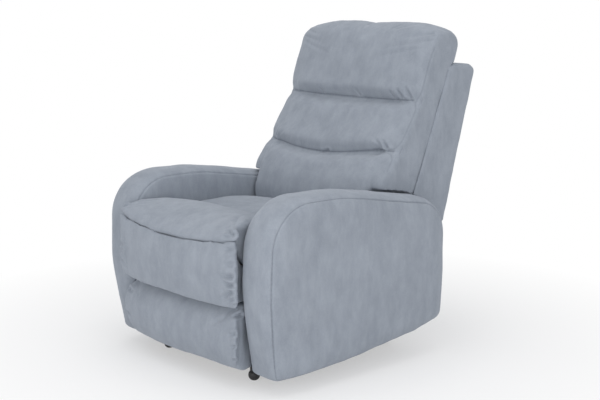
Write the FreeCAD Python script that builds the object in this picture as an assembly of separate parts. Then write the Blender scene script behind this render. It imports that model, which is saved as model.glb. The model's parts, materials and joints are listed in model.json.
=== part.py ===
"""Recliner armchair with a manual leg rest and a reclining back.

A steel base on four plastic feet carries two upholstered arms, a sprung wooden seat that glides
forward, a reclining sprung back with three pads, and a leg rest on a lazy-tong linkage.

Units are millimetres. +Z is up, the sitter faces -Y and the sitter's left hand is at +X. The origin
is on the floor, below the middle of the chair. Side views are drawn as (y, z) points, and each corner
of an outline is (y, z, radius).
"""
import FreeCAD
import Part

import math
import os

Vector = FreeCAD.Vector

# ---------------------------------------------------------------- driving dimensions
width = 826.0               # over both arms
seat_gap = 544.0            # clear width between the arms
arm_front = -452.0          # foremost point of an arm
arm_rear = 279.0            # rear face of an arm
arm_height = 575.0          # crown of an arm above the floor
arm_floor_gap = 48.0        # underside of an arm above the floor
arm_front_radius = 160.0    # big curve at the front of an arm
arm_rear_radius = 128.0     # curve at the rear of an arm
arm_edge_radius = 12.0      # softened seams along both sides of an arm
arm_padding = 30.0          # foam between the arm's frame and its cover's surface

foot_height = 45.0
foot_radius = 18.0
base_inset = 54.0           # middle of a base rail and its feet, in from the arm's inner face
foot_front_y = -357.0
foot_rear_y = 215.0

rail_width = 30.0           # base tube, both sides of the chair
rail_height = 30.0
rail_wall = 2.0
rail_front = -376.0
rail_rear = 240.0
cross_size = 25.0           # base cross tubes
cross_tube_places = (-225.0, 150.0)

bolt_radius = 4.0           # arm bolts, and the feet's threaded stems
bolt_head_radius = 7.5
bolt_head = 6.0
bolt_play = 0.2             # radial clearance of a bolt in its hole
bolt_inset = 6.0            # from a bolt's head to the side plate it passes through
arm_bolt_places = ((-200.0, 180.0), (100.0, 180.0))
spacer_radius = 9.0         # tubes between the side plates and the arms
screw_radius = 2.5          # wood screws of the leg rest's brackets
screw_head_radius = 5.0
screw_head = 2.5

steel = 4.0                 # thickness of plates and brackets
side_plate_rear = 200.0
side_plate_lift = 2.0       # from the bottom of a base rail up to the side plate's edge
tab_rise = 24.0             # from the recline hinge to the top of its tab
arm_panel = 12.0            # plywood sides of an arm's frame
arm_block = 30.0            # half the size of the blocks between them
arm_block_places = ((-330.0, 120.0), (-330.0, 420.0), (-60.0, 470.0), (170.0, 400.0), (170.0, 190.0))
rear_panel_bottom = 130.0
rear_panel_top = 350.0
rear_panel_thickness = 14.0
rear_panel_inset = 7.0      # from the rear of the arms
glide_height = 10.0         # from the track up to the seat frame
glide_radius = 12.0
glide_places = (-250.0, 0.0)
track_end = 30.0            # track ahead of the front glide with the seat right forward
track_rear = 90.0
board = 22.0                # thickness of the wooden rails
ply = 15.0                  # thickness of the leg rest's board

seat_front = -354.0         # rear face of the seat frame's front rail
seat_rear = 20.0            # front face of its rear rail
seat_rail_inset = 70.5      # inner face of a side rail, in from the arm
seat_rail_thickness = 25.0
seat_rail_height = 70.0
front_rail_gap = 22.0       # beside each end of the front rail
seat_crown = 482.0          # highest point of the seat cushion
seat_glide_travel = 50.0    # how far the seat moves forward as the back reclines
cushion_clearance = 4.0     # between a cushion's side and the arm

pivot_y = 160.0             # recline hinge
pivot_z = 372.0
pivot_radius = 8.0
back_sweep_radius = 156.0   # the back's outer cover stays outside this circle about its hinge
wing_overlap = 51.0         # how far the back reaches over each arm
wing_clearance = 3.0        # between the back's wings and the arms
back_cover = 10.0           # padding and fabric of the outer cover
back_foot = (373.0, 406.0)  # lower rear corner of the outer cover
back_head = (516.0, 888.0)  # upper rear end of its straight rear edge
back_top_z = 912.0          # top of the outer cover
back_joint_low = (228.0, 511.0)    # line where the pads meet the outer cover, low end
back_joint_high = (391.0, 914.0)   # and high end
roll_radius = 114.0         # rounded foot of the lumbar pad, about the recline hinge
roll_core = 60.0            # its hollow, which clears the hinge's plates
pad_high = (289.0, 949.0)   # upper end of that face
headrest_top = 1048.0
pad_gap = 1.0               # between neighbouring pads

drive_y = -251.0            # axis of the leg rest's drive tube
link_floor_gap = 51.3       # under the lowest link
toe_headroom = 44.5         # from the leg rest's upper pin to the seat frame
drive_radius = 11.0
drive_wall = 2.5
drive_hub = 7.0             # of the rear link round the drive tube
drive_end = 4.0             # of the drive tube beyond the seat's side rails
rear_link = 215.0           # pin to pin
front_link = 200.0
link_closed = 15.0          # angle of the links from the vertical with the leg rest stowed
tail_angle = 7.0            # direction of the tail of the front cross link, from the vertical
tail_length = 72.0
link_radius = 11.0          # half of a link's width, and its rounded ends
link_thickness = 5.0
link_gap = 2.5              # from the links to the seat's bracket
plane_gap = 3.0             # between the two planes of links
pin_radius = 5.0
pin_head_radius = 8.0
pin_head = 1.5
running = 0.06              # radial clearance of a pin in a hole that turns on it
side_play = 0.1             # clearance beside a pin's head

footrest_back = -381.0      # rear face of the leg rest's board
footrest_bottom = 56.0
footrest_crease = 261.0     # height of the fold between its two pads
footrest_front = -514.0     # foremost point of the upper pad

release_y = -255.0          # middle of the release cup in the right arm
release_z = 350.0
release_length = 104.0      # outside of the cup, along Y
release_height = 62.0
release_depth = 23.0
release_wall = 3.0
release_rim = 8.0           # flange round the cup
release_reach = 62.0        # paddle, from its pin
release_paddle = 6.0        # its thickness
release_knuckle = 6.0
release_pin_radius = 2.5
release_gap = 1.0           # above and below the paddle
release_inset = 1.0         # from the cup's face in to the paddle

wire = 2.0                  # radius of the spring wire
seat_spring_drop = 8.0      # from the top of the seat frame to its springs
seat_springs_count = 5
seat_spring_margin = 51.5   # from a side rail to the middle of the nearest spring
back_spring_rises = (140.0, 220.0, 300.0, 380.0, 450.0)
back_post_inset = 67.0      # outer face of a post, in from the side of the back
back_post_width = 24.0

# ---------------------------------------------------------------- derived values
arm_inner = seat_gap / 2
arm_outer = width / 2
cushion_half = arm_inner - cushion_clearance
foot_x = arm_inner - base_inset
back_half_width = arm_inner + wing_overlap
link_reach_z = math.cos(math.radians(link_closed))
elbow_z = link_floor_gap + link_radius
drive_z = elbow_z + rear_link * link_reach_z
seat_rail_bottom = elbow_z + front_link * link_reach_z + toe_headroom
seat_rail_top = seat_rail_bottom + seat_rail_height
seat_rail_inner = arm_inner - seat_rail_inset
plate_top = seat_rail_bottom - glide_height
link_outer_x = seat_rail_inner - steel - link_gap - link_thickness
link_inner_x = link_outer_x - plane_gap - link_thickness
footrest_half_width = arm_inner - cushion_clearance
rail_inner_x = foot_x - rail_width / 2
rail_outer_x = foot_x + rail_width / 2
rail_bottom = foot_height
rail_top = rail_bottom + rail_height
bolt_hole = bolt_radius + bolt_play
front_rail_y = seat_front - board
seat_rail_outer = seat_rail_inner + seat_rail_thickness


# ---------------------------------------------------------------- helpers
def box(x0, x1, y0, y1, z0, z1):
    return Part.makeBox(x1 - x0, y1 - y0, z1 - z0, Vector(x0, y0, z0))


def rod_x(y, z, radius, x0, x1):
    """A round bar along X."""
    return Part.makeCylinder(radius, x1 - x0, Vector(x0, y, z), Vector(1, 0, 0))


def outline(corners, x=0.0):
    """A closed wire at one x, with straight sides and a tangent arc at each corner (y, z, radius)."""
    edges = []
    ends = []
    count = len(corners)
    for i, (y, z, radius) in enumerate(corners):
        corner = Vector(x, y, z)
        before = Vector(x, *corners[i - 1][:2])
        after = Vector(x, *corners[(i + 1) % count][:2])
        if radius <= 0:
            ends.append((corner, corner))
            continue
        to_before = (before - corner).normalize()
        to_after = (after - corner).normalize()
        turn = math.pi - to_before.getAngle(to_after)
        tangent = radius * math.tan(turn / 2)
        start = corner + to_before * tangent
        end = corner + to_after * tangent
        inward = (to_before + to_after).normalize()
        middle = corner + inward * (radius / math.cos(turn / 2) - radius)
        edges.append((i, Part.Arc(start, middle, end).toShape()))
        ends.append((start, end))
    arcs = dict(edges)
    path = []
    for i in range(count):
        if i in arcs:
            path.append(arcs[i])
        gap_start = ends[i][1]
        gap_end = ends[(i + 1) % count][0]
        if gap_start.distanceToPoint(gap_end) > 1e-6:
            path.append(Part.LineSegment(gap_start, gap_end).toShape())
    return Part.Wire(path)


def plate(corners, x0, x1):
    """The outline, extruded from x0 to x1."""
    return Part.Face(outline(corners, x0)).extrude(Vector(x1 - x0, 0, 0))


def sharp(points):
    """Corners with no rounding."""
    return [(y, z, 0) for y, z in points]


def mirrored(shape):
    return shape.mirror(Vector(0, 0, 0), Vector(1, 0, 0))


def along(angle, down):
    """Unit (y, z) direction of a link: angle is from the vertical towards the front."""
    return -math.sin(math.radians(angle)), (-1 if down else 1) * math.cos(math.radians(angle))


def step(point, direction, distance):
    return point[0] + direction[0] * distance, point[1] + direction[1] * distance


def bar(start, end, radius, x0, x1):
    """A flat link with round ends."""
    length = math.dist(start, end)
    shape = Part.makeBox(x1 - x0, length, 2 * radius, Vector(x0, 0, -radius))
    for y in (0, length):
        shape = shape.fuse(rod_x(y, 0, radius, x0, x1))
    angle = math.degrees(math.atan2(end[1] - start[1], end[0] - start[0]))
    shape = shape.removeSplitter()
    shape.rotate(Vector(0, 0, 0), Vector(1, 0, 0), angle)
    shape.translate(Vector(0, *start))
    return shape


def drilled(shape, holes, x0, x1):
    """The shape with holes along X, each (y, z, radius)."""
    for y, z, radius in holes:
        shape = shape.cut(rod_x(y, z, radius, x0 - 1, x1 + 1))
    return shape


def zigzag(length, count, amplitude, radius):
    """A sinuous spring wire along +Y from the origin, in the XY plane, made of straights and half turns."""
    pitch = length / (2 * count + 1)
    bend = pitch / 2
    path = []
    y = 0.0
    side = 1
    path.append(Part.LineSegment(Vector(-amplitude + bend, y, 0), Vector(amplitude - bend, y, 0)))
    for _ in range(2 * count + 1):
        x = side * (amplitude - bend)
        path.append(Part.Arc(Vector(x, y, 0), Vector(x + side * bend, y + bend, 0), Vector(x, y + pitch, 0)))
        y += pitch
        path.append(Part.LineSegment(Vector(x, y, 0), Vector(-x, y, 0)))
        side = -side
    spine = Part.Wire([edge.toShape() for edge in path])
    section = Part.Wire(Part.makeCircle(radius, Vector(-amplitude + bend, 0, 0), Vector(1, 0, 0)))
    return spine.makePipeShell([section], True, False)


# ---------------------------------------------------------------- base
def base():
    parts = {}
    rail = box(rail_inner_x, rail_outer_x, rail_front, rail_rear, rail_bottom, rail_top)
    bore = box(rail_inner_x + rail_wall, rail_outer_x - rail_wall, rail_front - 1, rail_rear + 1,
               rail_bottom + rail_wall, rail_top - rail_wall)
    rail = rail.cut(bore)
    for y in (foot_front_y, foot_rear_y):
        rail = rail.cut(Part.makeCylinder(bolt_hole, rail_wall + 2, Vector(foot_x, y, rail_bottom - 1)))
    parts["base_rail_left"] = rail
    parts["base_rail_right"] = mirrored(rail)
    cross_bottom = rail_bottom + (rail_height - cross_size) / 2
    tubes = []
    for y in cross_tube_places:
        tube = box(-rail_inner_x, rail_inner_x, y, y + cross_size, cross_bottom, cross_bottom + cross_size)
        hollow = box(-rail_inner_x - 1, rail_inner_x + 1, y + rail_wall, y + cross_size - rail_wall,
                     cross_bottom + rail_wall, cross_bottom + cross_size - rail_wall)
        tubes.append(tube.cut(hollow))
    parts["base_cross_tubes"] = Part.makeCompound(tubes)
    feet = []
    bolts = []
    stem_depth = 20.0
    nut_radius = 7.0
    for y in (foot_front_y, foot_rear_y):
        for x in (foot_x, -foot_x):
            socket = Part.makeCylinder(bolt_radius, stem_depth, Vector(x, y, foot_height - stem_depth))
            feet.append(foot_knob(x, y).cut(socket))
        stem = Part.makeCylinder(bolt_radius, stem_depth + rail_wall + bolt_head,
                                 Vector(foot_x, y, foot_height - stem_depth))
        stem = stem.fuse(Part.makeCylinder(nut_radius, bolt_head, Vector(foot_x, y, rail_bottom + rail_wall)))
        bolts += [stem, mirrored(stem)]
    parts["feet"] = Part.makeCompound(feet)
    parts["foot_bolts"] = Part.makeCompound(bolts)
    return parts


def foot_knob(x, y):
    """A plastic foot: flat sole, round belly and a neck."""
    flattened = 0.85
    neck_share = 0.7
    belly = Part.makeSphere(foot_radius, Vector(x, y, foot_radius * flattened))
    belly = belly.common(Part.makeCylinder(foot_radius + 1, foot_height, Vector(x, y, 0)))
    neck = Part.makeCylinder(foot_radius * neck_share, foot_height - foot_radius, Vector(x, y, foot_radius))
    return belly.fuse(neck).removeSplitter()


def side_plates():
    """Steel sides that stand on the base rails, with the seat's track along the top and a recline tab."""
    front = glide_places[0] - seat_glide_travel - track_end
    low = rail_bottom + side_plate_lift
    tab_top = pivot_z + tab_rise
    corners = sharp([(front, low), (side_plate_rear, low), (side_plate_rear, tab_top),
                     (pivot_y - 35, tab_top), (pivot_y - 60, plate_top), (front, plate_top)])
    shape = plate(corners, rail_outer_x, rail_outer_x + steel)
    track = box(rail_inner_x + rail_wall, rail_outer_x, front, track_rear, plate_top - steel, plate_top)
    shape = shape.fuse(track)
    holes = [(pivot_y, pivot_z, pivot_radius)]
    holes += [(y, z, bolt_hole) for y, z in arm_bolt_places]
    shape = drilled(shape.removeSplitter(), holes, rail_outer_x, rail_outer_x + steel)
    return {"side_plate_left": shape, "side_plate_right": mirrored(shape)}


# ---------------------------------------------------------------- arms
def arm_corners(inset=0.0):
    """Side view of an arm, or of something that lies inset behind its surface all round."""
    crown_y = -172.0
    belly_z = 295.0
    return [
        (arm_front + 43 + inset, arm_floor_gap + inset, 14),
        (arm_front - 3 + inset, belly_z, 300),
        (arm_front + 14 + inset, arm_height + 3 - inset, arm_front_radius - inset),
        (crown_y, arm_height + 1 - inset, 300),
        (arm_rear - inset, arm_height - 72 - inset, arm_rear_radius - inset),
        (arm_rear - inset, arm_floor_gap + 82 + inset, 40),
        (-1.0, arm_floor_gap + 12 + inset, 400),
    ]


def arms():
    """Foam and fabric round a plywood box frame, for each arm, with its bolts and spacers."""
    frame_inner = arm_inner + arm_padding
    frame_outer = arm_outer - arm_padding
    body = plate(arm_corners(), arm_inner, arm_outer)
    rims = [e for e in body.Edges if abs(e.BoundBox.XLength) < 1e-6]
    body = body.makeFillet(arm_edge_radius, rims)
    pocket = plate(arm_corners(arm_padding), frame_inner, frame_outer)
    cover = body.cut(pocket)
    panel_face = frame_inner + arm_panel
    frame = [plate(arm_corners(arm_padding), frame_inner, panel_face),
             plate(arm_corners(arm_padding), frame_outer - arm_panel, frame_outer)]
    blocks = [box(panel_face, frame_outer - arm_panel, y - arm_block, y + arm_block,
                  z - arm_block, z + arm_block)
              for y, z in arm_block_places]
    bolt_holes = [(y, z, bolt_hole) for y, z in arm_bolt_places]
    cover = drilled(cover, bolt_holes, arm_inner, frame_inner)
    frame[0] = drilled(frame[0], bolt_holes, frame_inner, panel_face)
    parts = {"arm_cover_left": cover,
             "arm_frame_left": Part.makeCompound(frame + blocks)}
    parts["arm_cover_right"] = mirrored(cover).cut(release_pocket())
    parts["arm_frame_right"] = mirrored(Part.makeCompound(frame + blocks))
    bolts = []
    spacer_tubes = []
    plate_outer = rail_outer_x + steel
    head_face = rail_outer_x - bolt_inset
    thread_end = 2.0
    for y, z in arm_bolt_places:
        bolt = rod_x(y, z, bolt_radius, head_face, panel_face + bolt_head + thread_end)
        bolt = bolt.fuse(rod_x(y, z, bolt_head_radius, head_face, rail_outer_x))
        bolt = bolt.fuse(rod_x(y, z, bolt_head_radius, panel_face, panel_face + bolt_head))
        bolts += [bolt, mirrored(bolt)]
        tube = rod_x(y, z, spacer_radius, plate_outer, arm_inner)
        tube = tube.cut(rod_x(y, z, bolt_hole, plate_outer - 1, arm_inner + 1))
        spacer_tubes += [tube, mirrored(tube)]
    parts["arm_bolts"] = Part.makeCompound(bolts)
    parts["arm_spacers"] = Part.makeCompound(spacer_tubes)
    rear_face = arm_rear - rear_panel_inset
    parts["rear_panel"] = box(-arm_inner, arm_inner, rear_face - rear_panel_thickness, rear_face,
                              rear_panel_bottom, rear_panel_top)
    return parts


def pin_place():
    """Place in plan, as (x, y), of the upright pin that the release paddle turns on."""
    front = release_y - release_length / 2 + release_wall
    knuckle_gap = 1.5
    return -arm_outer + release_inset + release_knuckle, front + release_knuckle + knuckle_gap


def release():
    """Recessed leg rest release in the right arm: a plastic cup, and a paddle on an upright pin."""
    face = -arm_outer
    y0 = release_y - release_length / 2
    y1 = release_y + release_length / 2
    z0 = release_z - release_height / 2
    z1 = release_z + release_height / 2
    wall = release_wall
    cup = box(face, face + release_depth, y0, y1, z0, z1)
    rim = box(face, face + wall, y0 - release_rim, y1 + release_rim, z0 - release_rim, z1 + release_rim)
    cup = cup.fuse(rim).removeSplitter()
    cup = cup.cut(box(face - 1, face + release_depth - wall, y0 + wall, y1 - wall, z0 + wall, z1 - wall))
    pin_x, pin_y = pin_place()
    base_point = Vector(pin_x, pin_y, z0 + 1)
    up = Vector(0, 0, 1)
    hinge = Part.makeCylinder(release_pin_radius, release_height - 2, base_point, up)
    low = z0 + wall + release_gap
    high = z1 - wall - release_gap
    paddle_face = face + release_inset
    paddle = box(paddle_face, paddle_face + release_paddle, pin_y, pin_y + release_reach, low, high)
    paddle = paddle.fuse(Part.makeCylinder(release_knuckle, high - low, Vector(pin_x, pin_y, low), up))
    paddle = paddle.removeSplitter()
    paddle = paddle.cut(Part.makeCylinder(release_pin_radius + running, release_height, base_point, up))
    return {"release_cup": cup.cut(hinge), "release_pin": hinge, "release_paddle": paddle}


def release_pocket():
    """What the release cup takes out of the right arm."""
    face = -arm_outer
    half_length = release_length / 2
    half_height = release_height / 2
    rim = release_rim
    pocket = box(face - 1, face + release_depth, release_y - half_length, release_y + half_length,
                 release_z - half_height, release_z + half_height)
    return pocket.fuse(box(face - 1, face + release_wall, release_y - half_length - rim,
                           release_y + half_length + rim, release_z - half_height - rim,
                           release_z + half_height + rim))


# ---------------------------------------------------------------- seat
def nose_corners():
    """Underside of the seat's front, which the leg rest's top follows."""
    return [(-490.0, 441.0), (-469.0, 401.0), (-427.0, seat_rail_top)]


def seat():
    parts = {}
    side = box(seat_rail_inner, seat_rail_outer, seat_front, seat_rear, seat_rail_bottom, seat_rail_top)
    parts["seat_side_rail_left"] = side
    parts["seat_side_rail_right"] = mirrored(side)
    front_half = arm_inner - front_rail_gap
    parts["seat_front_rail"] = box(-front_half, front_half, front_rail_y, seat_front,
                                   seat_rail_bottom, seat_rail_top)
    parts["seat_rear_rail"] = box(-seat_rail_outer, seat_rail_outer, seat_rear, seat_rear + board,
                                  seat_rail_bottom, seat_rail_top)
    tip, fold, root = nose_corners()
    rear_low = seat_rear + board
    rear_high = rear_low + 26.0
    corners = [(*tip, 0), (*fold, 30), (*root, 20), (front_rail_y - 2, seat_rail_top + 2, 0),
               (rear_low, seat_rail_top + 2, 0), (rear_low, seat_rail_top + 22, 30), (rear_high, 451.0, 12),
               (0.0, 460.0, 300), (-250.0, seat_crown - 6, 500), (-400.0, seat_crown + 1, 160),
               (-497.0, 468.0, 24)]
    parts["seat_cushion"] = plate(corners, -cushion_half, cushion_half)
    glides = []
    for y in glide_places:
        glide = Part.makeCylinder(glide_radius, seat_rail_bottom - plate_top - side_play,
                                  Vector(seat_rail_inner + 14, y, plate_top + side_play))
        glides += [glide, mirrored(glide)]
    parts["seat_glides"] = Part.makeCompound(glides)
    bracket = plate(sharp([(-345.0, 340.0), (-345.0, 285.0), (drive_y - 30, drive_z - 25),
                           (drive_y + 30, drive_z - 25), (-150.0, 330.0), (-150.0, 360.0), (-345.0, 360.0)]),
                    seat_rail_inner - steel, seat_rail_inner)
    drive_hole = (drive_y, drive_z, drive_radius + running)
    bracket = drilled(bracket, [drive_hole], seat_rail_inner - steel, seat_rail_inner)
    parts["seat_bracket_left"] = bracket
    parts["seat_bracket_right"] = mirrored(bracket)
    return parts


def seat_springs():
    """Sinuous springs from the front rail to the rear rail, and the clips that hold their ends."""
    end_gap = wire + 0.5
    clip_half = 14.0
    clip_length = 7.0
    clip_cover = wire + 3
    turns = 7
    swing = 22.0
    spring_z = seat_rail_top - seat_spring_drop
    springs = []
    clips = []
    outermost = seat_rail_inner - seat_spring_margin
    for i in range(seat_springs_count):
        x = outermost * (2 * i / (seat_springs_count - 1) - 1)
        spring = zigzag(seat_rear - seat_front - 2 * end_gap, turns, swing, wire)
        spring.translate(Vector(x, seat_front + end_gap, spring_z))
        springs.append(spring)
        for y0, y1 in ((seat_front, seat_front + clip_length), (seat_rear - clip_length, seat_rear)):
            clip = box(x - clip_half, x + clip_half, y0, y1, spring_z - clip_cover, spring_z + clip_cover)
            clips.append(clip.cut(spring))
    return {"seat_springs": Part.makeCompound(springs), "seat_spring_clips": Part.makeCompound(clips)}


# ---------------------------------------------------------------- leg rest linkage
def link_points():
    """Places of the linkage's pins with the leg rest stowed."""
    down = along(link_closed, True)
    up = along(link_closed, False)
    half_front = front_link / 2
    drive = (drive_y, drive_z)
    rear_middle = step(drive, down, rear_link / 2)
    elbow = step(drive, down, rear_link)
    front_middle = step(elbow, up, half_front)
    tail = step(front_middle, along(tail_angle, True), tail_length)
    return {
        "drive": drive,
        "rear_middle": rear_middle,
        "elbow": elbow,
        "front_middle": front_middle,
        "knee": step(rear_middle, up, half_front),
        "toe": step(elbow, up, front_link),
        "tail": tail,
        "heel": step(tail, up, half_front),
    }


def pin(point, x0, x1, own_low, own_high):
    """A rivet through x0 to x1. A head on a piece of its own body touches it, and the other has side play."""
    low = x0 if own_low else x0 - side_play
    high = x1 if own_high else x1 + side_play
    shape = rod_x(*point, pin_radius, low, high)
    shape = shape.fuse(rod_x(*point, pin_head_radius, low - pin_head, low))
    shape = shape.fuse(rod_x(*point, pin_head_radius, high, high + pin_head))
    return shape.removeSplitter()


def pairs(shapes):
    """The shapes and their mirror images, as one group."""
    return Part.makeCompound(shapes + [mirrored(shape) for shape in shapes])


def linkage():
    p = link_points()
    outer = (link_outer_x, link_outer_x + link_thickness)
    inner = (link_inner_x, link_inner_x + link_thickness)
    loose = pin_radius + running
    tight = pin_radius
    hub = bar(p["drive"], p["elbow"], link_radius, *outer)
    hub = hub.fuse(rod_x(*p["drive"], drive_radius + drive_hub, *outer)).removeSplitter()
    crank = bar(p["knee"], p["front_middle"], link_radius, *outer)
    crank = crank.fuse(bar(p["front_middle"], p["tail"], link_radius, *outer)).removeSplitter()
    links = {
        "rear_link": (hub, outer, {"drive": drive_radius, "elbow": tight, "rear_middle": tight}),
        "front_link": (bar(p["elbow"], p["toe"], link_radius, *inner), inner,
                       {"elbow": loose, "front_middle": tight, "toe": tight}),
        "rear_cross_link": (bar(p["rear_middle"], p["knee"], link_radius, *inner), inner,
                            {"rear_middle": loose, "knee": loose}),
        "front_cross_link": (crank, outer, {"knee": tight, "front_middle": loose, "tail": tight}),
        "control_link": (bar(p["tail"], p["heel"], link_radius, *inner), inner,
                         {"tail": loose, "heel": tight}),
    }
    parts = {}
    for name, (blank, plane, holes) in links.items():
        shape = drilled(blank, [(*p[place], radius) for place, radius in holes.items()], *plane)
        parts[f"{name}_left"] = shape
        parts[f"{name}_right"] = mirrored(shape)
    span = (inner[0], outer[1])
    reach = (footrest_bracket_x()[0], inner[1])
    parts["rear_link_pins"] = pairs([pin(p[place], *span, own_low=False, own_high=True)
                                     for place in ("elbow", "rear_middle")])
    parts["front_cross_link_pins"] = pairs([pin(p[place], *span, own_low=False, own_high=True)
                                            for place in ("knee", "tail")])
    parts["front_link_pins"] = pairs([pin(p["front_middle"], *span, own_low=True, own_high=False),
                                      pin(p["toe"], *reach, own_low=False, own_high=True)])
    parts["control_link_pins"] = pairs([pin(p["heel"], *reach, own_low=False, own_high=True)])
    half = seat_rail_inner + drive_end
    tube = rod_x(*p["drive"], drive_radius, -half, half)
    parts["drive_tube"] = tube.cut(rod_x(*p["drive"], drive_radius - drive_wall, -half - 1, half + 1))
    return parts


def footrest_bracket_x():
    """Inner and outer face of the leg rest's left bracket, beside the links of the inner plane."""
    outer = link_inner_x - 3
    return outer - link_thickness, outer


def footrest():
    parts = {}
    board_front = footrest_back - ply
    board_half = footrest_half_width - 13
    wood = box(-board_half, board_half, board_front, footrest_back, 72.0, 335.0)
    toe = link_points()["toe"]
    heel = link_points()["heel"]
    x0, x1 = footrest_bracket_x()
    low = heel[1] - 30
    high = toe[1] + 35
    bracket = plate([(footrest_back, low, 0), (heel[0] + 12, heel[1] - 14, 6), (toe[0] + 12, toe[1] + 14, 6),
                     (footrest_back, high, 0)], x0, x1)
    bracket = bracket.fuse(box(x0 - 25, x0, footrest_back, footrest_back + steel, low, high)).removeSplitter()
    bracket = drilled(bracket, [(*toe, pin_radius + running), (*heel, pin_radius + running)], x0, x1)
    screws = []
    forward = Vector(0, -1, 0)
    screw_x = x0 - 13
    screw_face = footrest_back + steel
    bite = 12.0
    for z in (low + 18, (low + high) / 2, high - 18):
        hole = Part.makeCylinder(screw_radius, 2 * ply, Vector(screw_x, screw_face + 1, z), forward)
        bracket = bracket.cut(hole)
        screw = Part.makeCylinder(screw_radius, steel + bite, Vector(screw_x, screw_face, z), forward)
        head = Part.makeCylinder(screw_head_radius, screw_head, Vector(screw_x, screw_face, z), -forward)
        screw = screw.fuse(head).removeSplitter()
        screws += [screw, mirrored(screw)]
    parts["footrest_bracket_left"] = bracket
    parts["footrest_bracket_right"] = mirrored(bracket)
    parts["footrest_screws"] = Part.makeCompound(screws)
    for screw in screws:
        wood = wood.cut(screw)
    parts["footrest_board"] = wood
    tip, fold, root = nose_corners()
    drop = 4.0
    upper = [(board_front, footrest_crease, 0), (board_front, root[1] - drop - 12, 0),
             (root[0], root[1] - drop, 20), (fold[0] - 1, fold[1] - drop, 30), (tip[0] - 2, tip[1] - drop, 6),
             (footrest_front, 400.0, 60), (footrest_front, 300.0, 45), (-484.0, footrest_crease, 14)]
    parts["footrest_upper_pad"] = plate(upper, -footrest_half_width, footrest_half_width)
    lower = [(board_front, footrest_bottom, 0), (board_front, footrest_crease - pad_gap, 0),
             (-478.0, footrest_crease - pad_gap, 14), (-494.0, 190.0, 100), (-484.0, 96.0, 60),
             (-430.0, footrest_bottom, 12)]
    parts["footrest_lower_pad"] = plate(lower, -footrest_half_width, footrest_half_width)
    return parts


# ---------------------------------------------------------------- back
def between(a, b, z):
    """The y of the line from a to b at height z."""
    return a[0] + (b[0] - a[0]) * (z - a[1]) / (b[1] - a[1])


def back_axes():
    """Unit directions up the rear edge of the back, and from it towards the pads, as (y, z)."""
    length = math.dist(back_foot, back_head)
    up = ((back_head[0] - back_foot[0]) / length, (back_head[1] - back_foot[1]) / length)
    return up, (-up[1], up[0])


def back_point(rise, depth):
    """A point of the back's side view: rise along the rear edge, depth in from it."""
    up, inward = back_axes()
    return step(step(back_foot, up, rise), inward, depth)


def back_block(x0, x1, rise0, rise1, depth0, depth1):
    """A wooden block square to the back's rear edge."""
    corners = [back_point(rise0, depth0), back_point(rise0, depth1),
               back_point(rise1, depth1), back_point(rise1, depth0)]
    return plate(sharp(corners), x0, x1)


def arm_envelope():
    """Both arms with a clearance round them, which the back's wings stay out of."""
    side = plate(arm_corners(-wing_clearance), arm_inner - wing_clearance, arm_outer)
    return side.fuse(mirrored(side))


def sweep_cylinder(half_width):
    return rod_x(pivot_y, pivot_z, back_sweep_radius, -half_width - 1, half_width + 1)


def back_frame():
    parts = {}
    top_front = (between(back_joint_low, back_joint_high, back_top_z), back_top_z)
    corners = [(*back_joint_low, 0), (*top_front, 0), (back_head[0] + 6, back_top_z - 3, 24),
               (*back_foot, 10),
               (pivot_y + back_sweep_radius - 10, back_foot[1] - 6, 0), (pivot_y + 40, pivot_z + 100, 0)]
    outer = plate(corners, -back_half_width, back_half_width).cut(sweep_cylinder(back_half_width))
    outer = outer.cut(arm_envelope())
    inner_half = back_half_width - back_cover
    head_rise = math.dist(back_foot, back_head)
    cavity = plate(sharp([back_point(-60, back_cover), back_point(head_rise, back_cover),
                          (back_point(head_rise, back_cover)[0], back_top_z - back_cover),
                          (top_front[0] - 60, back_top_z - back_cover),
                          (back_joint_low[0] - 60, back_joint_low[1]),
                          (pivot_y, pivot_z)]), -inner_half, inner_half)
    parts["back_outer_cover"] = outer.cut(cavity)
    wing_profile = sharp([back_point(70, back_cover), back_point(head_rise - 20, back_cover),
                          back_point(head_rise - 20, 110), back_point(90, 150), back_point(70, 120)])
    wing = plate(wing_profile, inner_half - 18, inner_half)
    wing = wing.cut(arm_envelope())
    parts["back_wing_boards"] = Part.makeCompound([wing, mirrored(wing)])
    post_outer = back_half_width - back_post_inset
    post_depth = (back_cover + board, back_cover + board + 40)
    post = back_block(post_outer - back_post_width, post_outer, 80, head_rise - 30, *post_depth)
    parts["back_posts"] = Part.makeCompound([post, mirrored(post)])
    rail_half = inner_half - 18
    rail_depth = (back_cover, back_cover + board)
    parts["back_top_rail"] = back_block(-rail_half, rail_half, head_rise - 90, head_rise - 30, *rail_depth)
    parts["back_bottom_rail"] = back_block(-rail_half, rail_half, 90, 150, *rail_depth)
    low = sharp([(137.0, 372.0), (160.0, 349.0), (186.0, 358.0), (272.0, 452.0), (345.0, 660.0),
                 (318.0, 669.0), (236.0, 470.0), (148.0, 394.0)])
    plate_gap = 1.0
    outer_face = rail_outer_x - plate_gap
    inner_face = outer_face - steel
    bracket = plate(low, inner_face, outer_face)
    bracket = drilled(bracket, [(pivot_y, pivot_z, pivot_radius + running)], rail_inner_x, rail_outer_x)
    parts["back_bracket_left"] = bracket
    parts["back_bracket_right"] = mirrored(bracket)
    head_radius = 13.0
    low_face = inner_face - side_play
    high_face = rail_outer_x + steel
    hinge = rod_x(pivot_y, pivot_z, pivot_radius, low_face, high_face)
    hinge = hinge.fuse(rod_x(pivot_y, pivot_z, head_radius, high_face, high_face + 4))
    hinge = hinge.fuse(rod_x(pivot_y, pivot_z, head_radius, low_face - 3, low_face)).removeSplitter()
    parts["recline_pins"] = Part.makeCompound([hinge, mirrored(hinge)])
    return parts


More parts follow.
